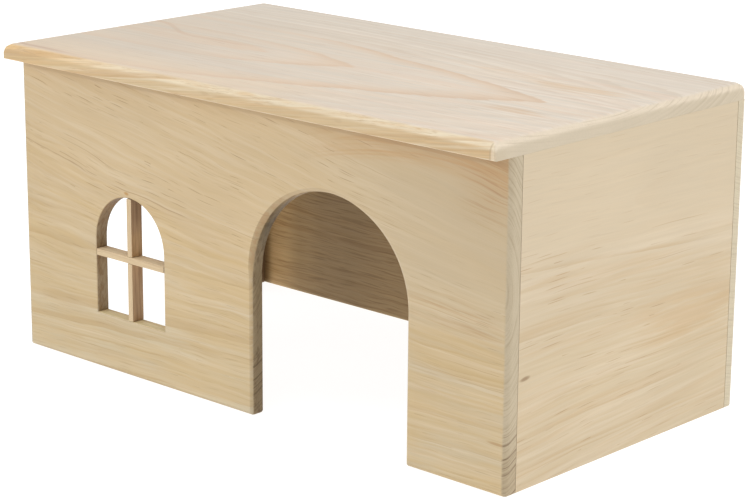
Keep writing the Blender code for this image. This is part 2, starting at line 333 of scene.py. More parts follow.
class Pine(Wood):
    """Bare planed pine with a solid grain, so that a board's faces, roundings and ends belong together.

    The axes are the board's along, across and through directions. The colour starts as one tone, and each
    layer of rings, streaks, dashes and tints is laid over it."""

    def __init__(self, name, axes, tone, seed):
        super().__init__(name, seed)
        coordinates = self.nodes.new("ShaderNodeTexCoord")
        place = self.split(coordinates.outputs["Object"])
        facing = self.split(coordinates.outputs["Normal"])
        self.along, self.across, self.through = (place[axis] for axis in axes)
        self.facing = [facing[axis] for axis in axes]
        self.straight = self.vector(self.along, self.across, self.through)
        self.colour = tone

    def bend(self, wave, ripple, rise=0.0, bow=0.0, bow_at=0.0, fan=None, tilt=0.0):
        """Lay the grain's course: its waves, its rise along the board, its bow, a fanned out stretch and its
        tilt to the board's faces."""
        broad = self.swing(self.straight, BROAD_WAVE, 1)
        small = self.swing(self.straight, SMALL_WAVE)
        level = self.math("MULTIPLY_ADD", broad, wave, self.math("MULTIPLY_ADD", small, ripple, self.across))
        level = self.math("MULTIPLY_ADD", self.along, -rise, level)
        if bow:
            off = self.minus(self.along, bow_at)
            level = self.math("MULTIPLY_ADD", self.times(off, off), bow, level)
        if fan:
            start, stop, fan_rise = fan
            turned = self.spread(self.across, start, stop, 0, -fan_rise)
            level = self.math("MULTIPLY_ADD", self.along, turned, level)
        self.level = level
        self.depth = self.math("MULTIPLY_ADD", self.along, -tilt, self.through) if tilt else self.through
        self.grain = self.vector(self.along, level, self.depth)

    def round_pith(self, pith, taper, near=1.0):
        """Distance from the pith, whose place is across and through the board. The distance changes along the
        board by the taper, and it is less on the near side."""
        offset = self.minus(self.level, pith[0])
        self.offset = self.math("MAXIMUM", offset, self.times(offset, -near))
        radius = self.math("SQRT", self.squares(self.offset, self.minus(self.depth, pith[1])))
        self.radius = self.math("MULTIPLY_ADD", self.along, taper, radius)

    def point_flames(self, foot, ease, steepness, power, ragged):
        """How far along the board the tip of each place's flame lies; left of the foot the grain is level."""
        fade = self.spread(self.offset, 0.05, 0.10, 1, 0.4)
        start = self.times(self.math("SMOOTH_MAX", self.along, foot, ease), fade)
        reach = self.math("MULTIPLY_ADD", self.math("POWER", self.offset, power), steepness, start)
        self.reach = self.math("MULTIPLY_ADD", self.swing(self.grain, FLAME_RAG, 3, 0.6), ragged, reach)

    def rings(self, spacing, weakest=0.15, start=0.25, field=None):
        """Growth rings of uneven width and depth, each darkening outwards to a sharp edge."""
        count = self.math("DIVIDE", field or self.radius, spacing)
        drift = self.series(self.times(count, RING_DRIFT_PACE))
        count = self.math("MULTIPLY_ADD", drift, RING_DRIFT, count)
        depth = self.spread(self.chance(self.math("FLOOR", count)), 0, 1, weakest, 1)
        part = self.math("FRACT", count)
        edge = self.spread(part, RING_EDGE_SHARE, 1.0, 1, 0)
        return self.times(self.spread(part, start, RING_DARK_SHARE), edge, depth)

    def flame(self, tip, fade):
        """The dark band of one ring, sharp outside and faded inwards."""
        inside = self.spread(self.reach, tip - fade, tip)
        return self.times(inside, self.spread(self.reach, tip, tip + FLAME_EDGE, 1, 0))

    def streaks(self, size, low=0.42, high=0.70):
        """Soft streaks that follow the grain."""
        return self.spread(self.noise(self.grain, size, 3, 0.6), low, high)

    def patches(self, size, low=0.36, high=0.62, weakest=0.2):
        """Places where a layer is strong, between others where it is weak."""
        return self.spread(self.noise(self.grain, size), low, high, weakest, 1)

    def dashes(self, cell, size, share):
        """Thin resin lines, each in a cell of its own that follows the grain, and crowded in places."""
        lattice = self.lattice(self.grain, cell, self.next_seed())
        cells = self.nodes.new("ShaderNodeTexVoronoi")
        cells.inputs["Scale"].default_value = 1
        self.put(cells.inputs["Vector"], lattice)
        offset = self.split(self.vector_math("SUBTRACT", lattice, cells.outputs["Position"]))
        picked, length, strength = self.split(cells.outputs["Color"])
        stretch = self.spread(length, 0, 1, DASH_LENGTHS * cell[0] / size[0], cell[0] / size[0])
        along = self.times(offset[0], stretch)
        across = self.times(offset[1], cell[1] / size[1])
        line = self.spread(self.squares(along, across), 0.1, 1, 1, 0)
        crowd = self.noise(self.grain, DASH_CROWD, 1)
        limit = self.spread(crowd, 0.35, 0.65, 1 - share + DASH_CROWDING, 1 - share - DASH_CROWDING)
        chosen = self.spread(self.minus(picked, limit), 0, 0.04)
        return self.times(line, chosen, self.spread(strength, 0, 1, 0.35, 1))

    def oval(self, centre, size):
        """1 in the middle of an oval on the face, along the grain, easing to 0 at its rim."""
        along = self.math("DIVIDE", self.minus(self.along, centre[0]), size[0])
        across = self.math("DIVIDE", self.minus(self.level, centre[1]), size[1])
        return self.spread(self.squares(along, across), 0, 1, 1, 0)

    def stain(self, tone, share, amount):
        """Mix a tone over the colour where the amount is high."""
        self.colour = self.mix(self.times(amount, share), self.colour, tone)

    def deepen(self, factor, amount):
        """Multiply the colour where the amount is high."""
        self.colour = self.mix(amount, self.colour, self.vector_math("MULTIPLY", self.colour, factor))

    def end_grain(self, tone, dark_tone, start, full, marked=0.3):
        """Cut ends, where the surface turns to face along the board, with thin rings and pores."""
        turned = self.math("ABSOLUTE", self.facing[0])
        uneven = self.swing(self.straight, CUT_RAG)
        self.cut = self.spread(self.math("MULTIPLY_ADD", uneven, 0.2, turned), start, full)
        lines = self.spread(self.series(self.math("DIVIDE", self.radius, END_RING)), 0.45, 0.7)
        patch = self.noise(self.straight, CUT_PATCH, 1)
        shown = self.spread(patch, 0.35, 0.6, 0.3 * marked, 1.2 * marked)
        self.pores = self.noise(self.straight, PORE, 2, 0.7)
        cut = self.mix(self.times(lines, shown), tone, dark_tone)
        broad = self.rings(END_RING * END_RINGS_IN_BROAD, weakest=0.2, start=0.55)
        cut = self.mix(self.times(broad, marked), cut, dark_tone)
        cut = self.mix(self.spread(self.pores, 0.55, 0.75, 0, 0.3), cut, dark_tone)
        self.colour = self.mix(self.cut, self.colour, cut)

    def finish(self, relief):
        """Fine fibre, blotches, roughness and bump; the relief is what lies below or above the surface."""
        fibre = self.noise(self.grain, FIBRE, 3, 0.6)
        blotch = self.noise(self.straight, BLOTCH)
        uneven = self.spread(blotch, 0.3, 0.7, -0.02, 0.02)
        shade = self.math("ADD", uneven, self.spread(fibre, 0.3, 0.7, 0.975, 1.025))
        toned = self.nodes.new("ShaderNodeVectorMath")
        toned.operation = "SCALE"
        self.put(toned.inputs[0], self.colour)
        self.put(toned.inputs["Scale"], shade)
        self.put(self.shader.inputs["Base Color"], toned.outputs[0])
        self.put(self.shader.inputs["Roughness"], self.spread(fibre, 0.3, 0.7, 0.48, 0.64))
        self.shader.inputs["Specular IOR Level"].default_value = SHINE
        height = self.math("ADD", fibre, relief)
        height = self.math("MULTIPLY_ADD", self.pores, self.times(self.cut, 1.5), height)
        bump = self.nodes.new("ShaderNodeBump")
        bump.inputs["Strength"].default_value = BUMP_STRENGTH
        bump.inputs["Distance"].default_value = BUMP_HEIGHT
        self.put(bump.inputs["Height"], height)
        self.put(self.shader.inputs["Normal"], bump.outputs[0])
        return self.material


def roof_pine():
    """Pale board with wide flames that point to the right, yellower on its rounded front edge; the turn from
    the pale top to that edge is partly the wood and partly painted sheen on the top.
    """
    wood = Pine("roof_pine", (0, 1, 2), (0.715, 0.608, 0.492), seed=11)
    wood.bend(wave=0.010, ripple=0.004, tilt=0.11)
    wood.round_pith(pith=(-0.016, ROOF_TOP + ROOF_PITH_AWAY), taper=0, near=0.62)
    wood.point_flames(foot=-0.075, ease=0.08, steepness=7.53, power=1.25, ragged=0.028)
    curved = wood.rings(0.0031, weakest=0.25)
    tint_roof(wood)
    add_roof_rings(wood)
    add_flames(wood)
    nosing = tint_nosing_and_paint_sheen(wood, curved)
    lines = wood.dashes(cell=(0.05, 0.005, 0.0025), size=(0.014, 0.0003), share=0.45)
    wood.stain((0.42, 0.28, 0.16), 0.55, lines)
    tint_roof_ends(wood, curved, nosing)
    return wood.finish(wood.times(lines, -0.6))


def tint_roof(wood):
    """Grey, warm and pale streaks; darker at the left, greyer behind and yellower at the front left."""
    wood.stain((0.60, 0.565, 0.50), 0.6, wood.streaks((0.2, 0.004, 0.03)))
    wood.stain((0.73, 0.555, 0.42), 0.55, wood.streaks((0.25, 0.012, 0.04)))
    wood.stain((0.79, 0.72, 0.63), 0.55, wood.streaks((0.2, 0.0035, 0.03)))
    wood.stain((0.58, 0.505, 0.41), 0.7, wood.spread(wood.along, 0.2, -0.25))
    wood.stain((0.62, 0.565, 0.49), 0.5, wood.spread(wood.across, 0.02, 0.10))
    front_left = wood.times(wood.spread(wood.across, -0.065, -0.10), wood.spread(wood.along, 0.10, 0.0))
    wood.stain((0.74, 0.57, 0.39), 0.4, front_left)


def add_roof_rings(wood):
    """Rings that run with the flames, beyond and behind them, and lines at the roof's left."""
    beyond = wood.spread(wood.reach, 0.158, 0.19)
    beyond = wood.times(beyond, wood.spread(wood.across, 0.025, 0.055, 0.55, 1))
    dark = wood.rings(0.045, weakest=0.2, start=0.3, field=wood.reach)
    wood.stain((0.56, 0.445, 0.325), 0.5, wood.times(dark, beyond))
    pale = wood.rings(0.055, weakest=0.1, start=0.2, field=wood.reach)
    wood.stain((0.78, 0.70, 0.60), 0.35, wood.times(pale, beyond))
    warm = wood.rings(0.07, weakest=0.1, start=0.1, field=wood.reach)
    wood.stain((0.71, 0.545, 0.39), 0.42, wood.times(warm, beyond, wood.spread(wood.across, -0.03, -0.06)))
    behind = wood.times(wood.spread(wood.reach, 0.0, -0.06), wood.spread(wood.along, -0.04, -0.08))
    close = wood.rings(0.016, weakest=0.2, start=0.3, field=wood.reach)
    wood.stain((0.57, 0.44, 0.33), 0.7, wood.times(close, behind))
    course = wood.spread(wood.along, -0.145, -0.2, -0.0125, 0.010)
    line = wood.line(wood.across, course, 0.003)
    wood.stain((0.56, 0.41, 0.29), 0.55, wood.times(line, wood.spread(wood.along, -0.085, -0.105)))
    thin = wood.streaks((0.16, 0.0022, 0.02), 0.5, 0.7)
    wood.stain((0.56, 0.47, 0.375), 0.5, wood.times(thin, wood.spread(wood.along, 0.0, -0.1)))


def add_flames(wood):
    """The flames, each a soft band with a darker edge, and orange streaks near the tip of the last one."""
    strong = wood.spread(wood.along, -0.14, 0.02, 0.4, 1)
    for tip, share in ROOF_FLAMES:
        wood.stain((0.68, 0.515, 0.37), share, wood.times(wood.flame(tip, FLAME_FADE), strong))
        wood.stain((0.59, 0.42, 0.29), 0.42 * share, wood.times(wood.flame(tip, FLAME_DARK_FADE), strong))
    small = wood.streaks((0.05, 0.0025, 0.02))
    wood.stain((0.65, 0.45, 0.27), 0.85, wood.times(small, wood.oval((0.150, 0.029), (0.045, 0.014))))
    wood.stain((0.66, 0.50, 0.34), 0.4, wood.oval((0.150, 0.029), (0.045, 0.010)))
    wood.stain((0.63, 0.43, 0.26), 0.8, wood.times(small, wood.oval((0.163, -0.045), (0.030, 0.008))))
    wood.stain((0.66, 0.48, 0.31), 0.7, wood.times(small, wood.oval((0.09, 0.042), (0.05, 0.012))))


def tint_nosing_and_paint_sheen(wood, curved):
    """The rounded front edge: yellow, orange at the left, browner where upright. It is set off from the pale
    top partly by the wood and partly as painted sheen on the top. Gives how much is edge.
    """
    turned = wood.times(wood.facing[1], -1)
    nosing = wood.spread(turned, 0.15, 0.6)
    upright = wood.spread(turned, 0.85, 1.0)
    left = wood.spread(wood.along, -0.08, -0.195)
    # Partly painted sheen: the rounding and the upright face are tinted by their facing against the pale top
    wood.stain((0.76, 0.65, 0.465), 0.9, nosing)
    wood.stain((0.76, 0.515, 0.25), 0.95, wood.times(nosing, left))
    wood.stain((0.56, 0.41, 0.22), 0.8, upright)
    wood.stain((0.49, 0.335, 0.17), 0.55, wood.times(upright, wood.spread(wood.along, 0.11, 0.17)))
    # Streaks and rings
    wood.stain((0.77, 0.67, 0.50), 0.42, wood.times(nosing, wood.streaks((0.14, 0.0035, 0.0024))))
    wood.stain((0.66, 0.44, 0.22), 0.5, wood.times(nosing, wood.streaks((0.12, 0.0025, 0.0018))))
    wood.stain((0.52, 0.33, 0.16), 0.5, wood.times(nosing, curved))
    fine = wood.streaks((0.06, 0.0011, 0.0009), 0.5, 0.7)
    wood.stain((0.45, 0.29, 0.14), 0.45, wood.times(nosing, fine))
    # Pale tip at the right end, the thin line beside it and a brown line over the left end
    wood.stain((0.72, 0.62, 0.47), 0.6, wood.times(nosing, wood.spread(wood.along, 0.2060, 0.2075)))
    beside_tip = wood.band(wood.along, 0.2052, 0.2060, 0.2062, 0.2070)
    wood.stain((0.42, 0.31, 0.19), 0.5, wood.times(nosing, beside_tip))
    wood.stain((0.50, 0.35, 0.26), 0.6, wood.times(wood.oval((-0.19, -0.1085), (0.06, 0.0026)), left))
    return nosing


def tint_roof_ends(wood, curved, nosing):
    """End grain, ringed towards the back, browner low at the front, with a brown rim beside the nosing."""
    wood.end_grain((0.71, 0.61, 0.475), (0.47, 0.38, 0.26), 0.25, 0.62, marked=0.36)
    backward = wood.times(wood.spread(wood.facing[0], 0.75, 1.0), wood.spread(wood.across, 0.0, 0.06))
    wood.stain((0.40, 0.31, 0.20), 0.55, wood.times(curved, backward))
    near = wood.times(wood.spread(wood.across, -0.104, -0.115), wood.spread(wood.through, 0.2045, 0.2018))
    wood.stain((0.50, 0.39, 0.23), 0.5, wood.times(wood.cut, near))
    wood.stain((0.50, 0.42, 0.30), 0.7, wood.times(wood.cut, wood.spread(wood.facing[0], 0.8, 1.0)))
    rim = wood.band(wood.cut, 0.1, 0.5, 0.5, 0.9)
    wood.stain((0.42, 0.30, 0.18), 0.6, wood.times(rim, nosing))


def front_pine():
    """Yellow board, flecked above and with wavy rings below."""
    wood = Pine("front_pine", (0, 2, 1), (0.59, 0.448, 0.265), seed=23)
    wood.bend(bow=0.03, bow_at=0.03, wave=0.009, ripple=0.0035, fan=(0.02, 0.17, -0.19))
    wood.round_pith(pith=(0.150, FRONT_FACE - FRONT_PITH_AWAY), taper=0.03)
    plain = wood.times(wood.spread(wood.along, 0.06, 0.17), wood.spread(wood.across, 0.09, 0.135))
    rough = wood.math("MULTIPLY_ADD", plain, -0.75, 1)
    tint_front(wood, plain, rough)
    redden_front_and_paint_roof_shade(wood)
    flecks = fleck_front(wood, rough)
    # End grain, seen sooner on the board's rounded ends than in its openings
    at_end = wood.spread(wood.math("ABSOLUTE", wood.along), 0.202, 0.206)
    start = wood.math("MULTIPLY_ADD", at_end, -0.6, 0.7)
    full = wood.math("MULTIPLY_ADD", at_end, -0.38, 0.88)
    wood.end_grain((0.50, 0.415, 0.285), (0.34, 0.26, 0.16), start, full, marked=0.45)
    tint_and_shade_openings(wood, wood.minus(1, at_end))
    return wood.finish(wood.times(flecks, -0.8))


def tint_front(wood, plain, rough):
    """Greyer below and at the right, with rings and streaks that fade where the board is plain."""
    rings = wood.rings(0.0026, weakest=0.2)
    low = wood.spread(wood.level, 0.125, 0.095, 0.15, 1)
    wood.stain((0.565, 0.485, 0.33), 0.75, wood.spread(wood.level, 0.11, 0.02))
    wood.stain((0.53, 0.43, 0.28), 0.8, wood.spread(wood.along, 0.03, 0.17))
    wood.stain((0.495, 0.385, 0.245), 0.6, plain)
    wood.stain((0.60, 0.43, 0.205), 0.5, wood.times(wood.streaks((0.10, 0.014, 0.02), 0.35, 0.6), low))
    wood.stain((0.45, 0.29, 0.12), 0.52, wood.times(rings, low, wood.patches((0.12, 0.02, 0.02))))
    wood.stain((0.68, 0.565, 0.40), 0.38, wood.times(wood.streaks((0.12, 0.0035, 0.004)), rough))
    wood.stain((0.50, 0.34, 0.15), 0.38, wood.times(wood.streaks((0.14, 0.004, 0.005)), low))
    wood.stain((0.53, 0.39, 0.21), 0.35, wood.times(wood.streaks((0.10, 0.006, 0.008)), rough))


def redden_front_and_paint_roof_shade(wood):
    """Orange and brown under the roof at the right, brown beside the door, and painted shade under the roof
    with a dark painted shadow line right below it.
    """
    aside = wood.minus(wood.along, 0.14)
    arch = wood.math("MULTIPLY_ADD", wood.times(aside, aside), 1.6, wood.across)
    zone = wood.times(wood.spread(arch, 0.180, 0.187), wood.spread(wood.along, 0.04, 0.10))
    thin = wood.noise(wood.vector(wood.along, arch, wood.through), (0.06, 0.0014, 0.004), 3, seed=5)
    wood.stain((0.50, 0.29, 0.12), 0.62, wood.times(zone, wood.spread(thin, 0.38, 0.6, 0.35, 1)))
    corner = wood.times(wood.spread(wood.along, 0.16, 0.2), wood.spread(wood.across, 0.15, 0.172))
    wood.stain((0.46, 0.28, 0.12), 0.22, corner)
    wood.stain((0.38, 0.20, 0.08), 0.55, wood.times(corner, wood.streaks((0.05, 0.0013, 0.003), 0.5, 0.65)))
    right = wood.times(wood.oval((0.17, 0.1155), (0.05, 0.02)), wood.streaks((0.05, 0.0018, 0.003)))
    wood.stain((0.43, 0.26, 0.12), 0.6, right)
    wood.stain((0.40, 0.24, 0.10), 0.7, wood.oval((0.203, 0.032), (0.009, 0.0014)))
    # Painted shade under the roof's overhang, and a thin painted shadow line where the roof meets the board
    wood.stain((0.48, 0.33, 0.17), 0.26, wood.spread(wood.across, 0.185, 0.194))
    wood.stain((0.30, 0.20, 0.11), 0.26, wood.spread(wood.across, 0.1908, 0.1922))


def fleck_front(wood, rough):
    """Flecks, faint ones, long lines, and a line and an orange spot over the window. Gives the flecks."""
    flecks = wood.dashes(cell=(0.026, 0.0038, 0.004), size=(0.0105, 0.00027), share=0.40)
    flecks = wood.times(flecks, rough, wood.spread(wood.level, 0.085, 0.115, 0.45, 1))
    faint = wood.dashes(cell=(0.024, 0.0028, 0.003), size=(0.009, 0.00022), share=0.45)
    long_lines = wood.dashes(cell=(0.11, 0.008, 0.006), size=(0.05, 0.0003), share=0.45)
    wood.stain((0.26, 0.14, 0.05), 0.62, flecks)
    wood.stain((0.34, 0.21, 0.09), 0.38, wood.times(faint, rough))
    wood.stain((0.36, 0.22, 0.09), 0.5, long_lines)
    line = wood.times(wood.line(wood.level, 0.1085, 0.0005), wood.spread(wood.along, 0.01, -0.02))
    wood.stain((0.34, 0.20, 0.09), 0.55, wood.times(line, wood.patches((0.03, 0.01, 0.01), 0.4, 0.6)))
    wood.stain((0.48, 0.26, 0.08), 0.9, wood.oval((-0.108, 0.1068), (0.0028, 0.0013)))
    return flecks


def tint_and_shade_openings(wood, inside):
    """The jambs and arches of the front's door and window, the rounding of the door, and the board's back,
    with painted shade in the openings and on the back and painted light on the window's sill.
    """
    front_on = wood.math("ABSOLUTE", wood.facing[2])
    edge_on = wood.spread(front_on, 0.68, 0.5)
    upward = wood.spread(wood.facing[1], 0.5, 0.9)
    reveal = wood.times(edge_on, inside, wood.minus(1, upward))
    rounding = wood.times(wood.minus(wood.spread(front_on, 0.9995, 0.985), edge_on), inside)
    tint_and_shade_reveals(wood, reveal)
    tint_rounding(wood, wood.times(rounding, wood.spread(wood.along, 0.10, 0.06)))
    # Slanting saw marks low on the cut faces, which also get darker towards the bottom
    slanted = wood.math("MULTIPLY_ADD", wood.through, -0.6, wood.across)
    marks = wood.spread(wood.series(wood.math("DIVIDE", slanted, 0.0022)), 0.56, 0.72)
    foot = wood.times(wood.cut, wood.spread(wood.across, 0.048, 0.03))
    wood.deepen((0.55, 0.49, 0.43), wood.times(marks, foot))
    wood.deepen((0.86, 0.82, 0.76), wood.times(wood.cut, wood.spread(wood.across, 0.05, 0.01)))
    # Painted shade on the face inside the house, and painted light on the window's sill
    wood.deepen((0.6, 0.5, 0.4), wood.spread(wood.facing[2], 0.5, 0.9))
    wood.deepen((1.45, 1.52, 1.45), wood.times(upward, wood.spread(wood.across, 0.06, 0.05)))


def tint_and_shade_reveals(wood, reveal):
    """Darker inside the openings, partly browner cut wood and partly painted shade, most at the door's
    shoulders. The window has brown, painted shade under its arch and a painted shadow by its slat.
    """
    # Painted shade in the reveals, over cut faces that are browner
    wood.deepen((0.72, 0.65, 0.56), reveal)
    wood.deepen((0.82, 0.82, 0.77), wood.times(reveal, wood.spread(wood.along, -0.03, 0.0)))
    # Painted shade in the arch's reveal at the door's shoulders
    wood.deepen((0.46, 0.43, 0.345), wood.times(reveal, wood.band(wood.across, 0.098, 0.125, 0.134, 0.152)))
    mottled = wood.spread(wood.noise(wood.straight, (0.004, 0.010, 0.003), 3, 0.6, seed=7), 0.45, 0.65)
    in_window = wood.times(reveal, wood.spread(wood.along, -0.05, -0.08))
    wood.deepen((0.72, 0.66, 0.6), wood.times(wood.minus(reveal, in_window), mottled))
    brown = wood.noise(wood.straight, (0.003, 0.007, 0.0025), 4, 0.65, seed=17)
    wood.deepen((0.78, 0.68, 0.57), wood.times(in_window, wood.spread(brown, 0.42, 0.62)))
    # Painted shade under the window's arch, and a painted shadow where the slat meets the reveal
    wood.deepen((0.86, 0.78, 0.68), wood.times(in_window, wood.spread(wood.across, 0.092, 0.1)))
    slat_shadow = wood.band(wood.across, 0.068, 0.074, 0.076, 0.082)
    wood.deepen((0.8, 0.74, 0.7), wood.times(in_window, slat_shadow))


def tint_rounding(wood, rounding):
    """Deeper on the rounded edges, up to the door's middle, and spotted brown on the arch's left."""
    on_arch = wood.times(wood.spread(wood.across, 0.085, 0.108), wood.spread(wood.along, 0.05, 0.018))
    arched = wood.times(on_arch, rounding)
    wood.deepen((0.87, 0.86, 0.87), rounding)
    wood.deepen((0.82, 0.79, 0.72), arched)
    spots = wood.spread(wood.noise(wood.straight, (0.005, 0.004, 0.003), 2, seed=9), 0.48, 0.6)
    wood.stain((0.40, 0.235, 0.11), 0.45, wood.times(arched, spots))


def side_pine():
    """Pinkish board, plain above and with straight brown rings below."""
    wood = Pine("side_pine", (1, 2, 0), (0.59, 0.482, 0.333), seed=37)
    wood.bend(rise=-0.02, bow=0.1, bow_at=0.02, wave=0.008, ripple=0.002, fan=(0.11, 0.02, 0.09))
    wood.round_pith(pith=(0.155, SIDE_FACE + SIDE_PITH_AWAY), taper=-0.03)
    rings = wood.rings(0.0036, weakest=0.2)
    low = wood.spread(wood.level, 0.145, 0.12, 0.15, 1)
    wood.stain((0.575, 0.462, 0.30), 0.8, wood.spread(wood.level, 0.13, 0.07))
    wood.stain((0.47, 0.32, 0.165), 0.54, wood.times(rings, low, wood.patches((0.12, 0.02, 0.02))))
    wood.stain((0.69, 0.585, 0.44), 0.36, wood.times(wood.streaks((0.14, 0.004, 0.004)), low))
    wood.stain((0.52, 0.36, 0.19), 0.34, wood.times(wood.streaks((0.12, 0.005, 0.006)), low))
    warm = wood.streaks((0.06, 0.006, 0.01), 0.35, 0.6)
    wood.stain((0.54, 0.36, 0.18), 0.45, wood.times(wood.oval((0.075, 0.072), (0.08, 0.026)), warm))
    # Short flecks, long lines and one dark spot
    rough = wood.spread(wood.level, 0.15, 0.13, 0.35, 1)
    flecks = wood.times(wood.dashes(cell=(0.030, 0.0042, 0.004), size=(0.012, 0.0003), share=0.32), rough)
    long_lines = wood.dashes(cell=(0.11, 0.009, 0.006), size=(0.04, 0.0003), share=0.4)
    wood.stain((0.34, 0.18, 0.07), 0.55, flecks)
    wood.stain((0.38, 0.22, 0.10), 0.45, wood.times(long_lines, rough))
    wood.stain((0.25, 0.15, 0.07), 0.75, wood.oval((-0.0893, 0.0705), (0.0055, 0.0014)))
    wood.end_grain((0.50, 0.415, 0.29), (0.31, 0.23, 0.14), 0.3, 0.6)
    # Painted shade on the face inside the house, darkest towards the back
    inner = wood.spread(wood.math("ABSOLUTE", wood.through), 0.2025, 0.2012)
    wood.deepen((0.53, 0.42, 0.30), inner)
    wood.deepen((0.5, 0.46, 0.42), wood.times(inner, wood.spread(wood.along, 0.085, 0.105)))
    return wood.finish(wood.times(flecks, -0.8))


def back_pine():
    """Plain board with level rings, browner and darker on the face that looks into the house, where the
    darkening is painted shade.
    """
    wood = Pine("back_pine", (0, 2, 1), (0.60, 0.485, 0.32), seed=41)
    wood.bend(rise=-0.01, wave=0.008, ripple=0.004)
    wood.round_pith(pith=(0.30, 0.165), taper=0.01)
    rings = wood.rings(0.0042, weakest=0.2, start=0.45)
    wood.stain((0.42, 0.27, 0.13), 0.5, wood.times(rings, wood.patches((0.12, 0.02, 0.02), weakest=0.3)))
    wood.stain((0.47, 0.33, 0.17), 0.5, wood.streaks((0.12, 0.0025, 0.005)))
    wood.stain((0.68, 0.56, 0.38), 0.4, wood.streaks((0.12, 0.003, 0.005)))
    lines = wood.dashes(cell=(0.04, 0.004, 0.004), size=(0.016, 0.0003), share=0.5)
    wood.stain((0.30, 0.18, 0.08), 0.5, lines)
    wood.end_grain((0.585, 0.505, 0.36), (0.40, 0.32, 0.21), 0.2, 0.55)
    # The face inside the house, with marked streaks and painted shade
    inner = wood.spread(wood.facing[2], -0.5, -0.9)
    wood.stain((0.33, 0.21, 0.10), 0.6, wood.times(inner, wood.streaks((0.03, 0.0012, 0.004), 0.48, 0.68)))
    wood.stain((0.72, 0.58, 0.38), 0.45, wood.times(inner, wood.streaks((0.04, 0.0016, 0.004), 0.5, 0.7)))
    wood.deepen((0.53, 0.44, 0.30), inner)
    # Painted light that comes in by the side entrance, painted shade beside it and in the dark corner
    lit = wood.band(wood.along, -0.2005, -0.191, -0.19, -0.162)
    wood.deepen((1.9, 1.93, 2.05), wood.times(inner, lit))
    dim = wood.band(wood.along, -0.165, -0.14, -0.12, -0.07)
    wood.deepen((0.8, 0.79, 0.78), wood.times(inner, dim))
    wood.deepen((0.7, 0.64, 0.55), wood.times(inner, wood.spread(wood.along, -0.194, -0.2)))
    return wood.finish(wood.times(lines, -0.8))


def slat_pine(name, axes, seed, browned, painted_side_light):
    """Narrow sawn strip, of another tone on its sawn sides, with painted light and shade on its sides."""
    wood = Pine(name, axes, (0.655, 0.50, 0.305), seed)
    wood.bend(wave=0.0015, ripple=0.0005)
    wood.round_pith(pith=(0.04, -0.17), taper=0.02)
    wood.stain((0.46, 0.30, 0.15), 0.5, wood.rings(0.0022))
    wood.stain((0.52, 0.38, 0.23), 0.4, wood.streaks((0.05, 0.0016, 0.0016)))
    side = wood.spread(wood.math("ABSOLUTE", wood.facing[1]), 0.4, 0.8)
    sawn = wood.times(side, browned)
    wood.stain((0.43, 0.275, 0.15), 0.95, sawn)
    wood.stain((0.25, 0.135, 0.065), 0.75, wood.times(wood.streaks((0.03, 0.0009, 0.0009)), sawn))
    wood.stain((0.55, 0.37, 0.22), 0.5, wood.times(wood.streaks((0.04, 0.0012, 0.0012)), sawn))
    lines = wood.dashes(cell=(0.018, 0.0024, 0.002), size=(0.007, 0.00022), share=0.35)
    wood.stain((0.34, 0.20, 0.10), 0.5, lines)
    # Sides, with painted light by a factor, painted shade near the arch and painted light over the other slat
    wood.deepen(painted_side_light, side)
    wood.deepen((0.82, 0.8, 0.8), wood.times(side, wood.spread(wood.along, 0.098, 0.108)))
    over_slat = wood.band(wood.along, 0.079, 0.081, 0.092, 0.1)
    wood.deepen((1.18, 1.18, 1.08), wood.times(side, over_slat))
    wood.end_grain((0.50, 0.40, 0.27), (0.34, 0.25, 0.15), 0.5, 0.8)
    return wood.finish(wood.times(lines, -0.8))


def dowel_beech():
    """Turned peg with short fine flecks."""
    wood = Pine("dowel_beech", (2, 0, 1), (0.66, 0.48, 0.31), seed=61)
    wood.bend(wave=0.001, ripple=0.0005)
    wood.round_pith(pith=(0.3, 0.3), taper=0.02)
    wood.stain((0.58, 0.39, 0.23), 0.6, wood.rings(0.003))
    lines = wood.dashes(cell=(0.004, 0.0012, 0.0012), size=(0.0012, 0.0002), share=0.5)
    wood.stain((0.38, 0.23, 0.12), 0.5, lines)
    wood.end_grain((0.58, 0.42, 0.27), (0.40, 0.27, 0.16), 0.5, 0.8)
    return wood.finish(wood.times(lines, -0.6))


def object_from(shape, name):
    """An object of the scene with the shape as its mesh."""
    bmesh.ops.recalc_face_normals(shape, faces=shape.faces)
    mesh = bpy.data.meshes.new(name)
    shape.to_mesh(mesh)
    shape.free()
    made = bpy.data.objects.new(name, mesh)
    bpy.context.scene.collection.objects.link(made)
    return made


def box(name, low, high):
    shape = bmesh.new()
    place = Matrix.Translation((low + high) / 2) @ Matrix.Diagonal((*(high - low), 1))
    bmesh.ops.create_cube(shape, size=1, matrix=place)
    return object_from(shape, name)


def arch_cutter(name, width, height, base, foot, facing, depth):
    """A block with a half-round head that stands on its base point and reaches down below it by a foot."""
    radius = width / 2
    spring = height - radius
    turns = [pi * (1 - step / ARCH_SEGMENTS) for step in range(ARCH_SEGMENTS + 1)]
    outline = [(-radius, -foot)]
    outline += [(radius * cos(turn), spring + radius * sin(turn)) for turn in turns]
    outline += [(radius, -foot)]
    shape = bmesh.new()
    ring = [shape.verts.new((across, -depth / 2, up)) for across, up in outline]
    face = shape.faces.new(ring)
    pushed = bmesh.ops.extrude_face_region(shape, geom=[face])["geom"]
    moved = [item for item in pushed if isinstance(item, bmesh.types.BMVert)]
    bmesh.ops.translate(shape, verts=moved, vec=(0, depth, 0))
    shape.transform(Matrix.Translation(base) @ Matrix.Rotation(facing, 4, "Z"))
    return object_from(shape, name)


def apply_modifiers(thing):
    """Turn the modifiers' result into the object's own mesh."""
    bpy.context.view_layer.update()
    mesh = bpy.data.meshes.new_from_object(thing.evaluated_get(bpy.context.evaluated_depsgraph_get()))
    thing.modifiers.clear()
    thing.data = mesh


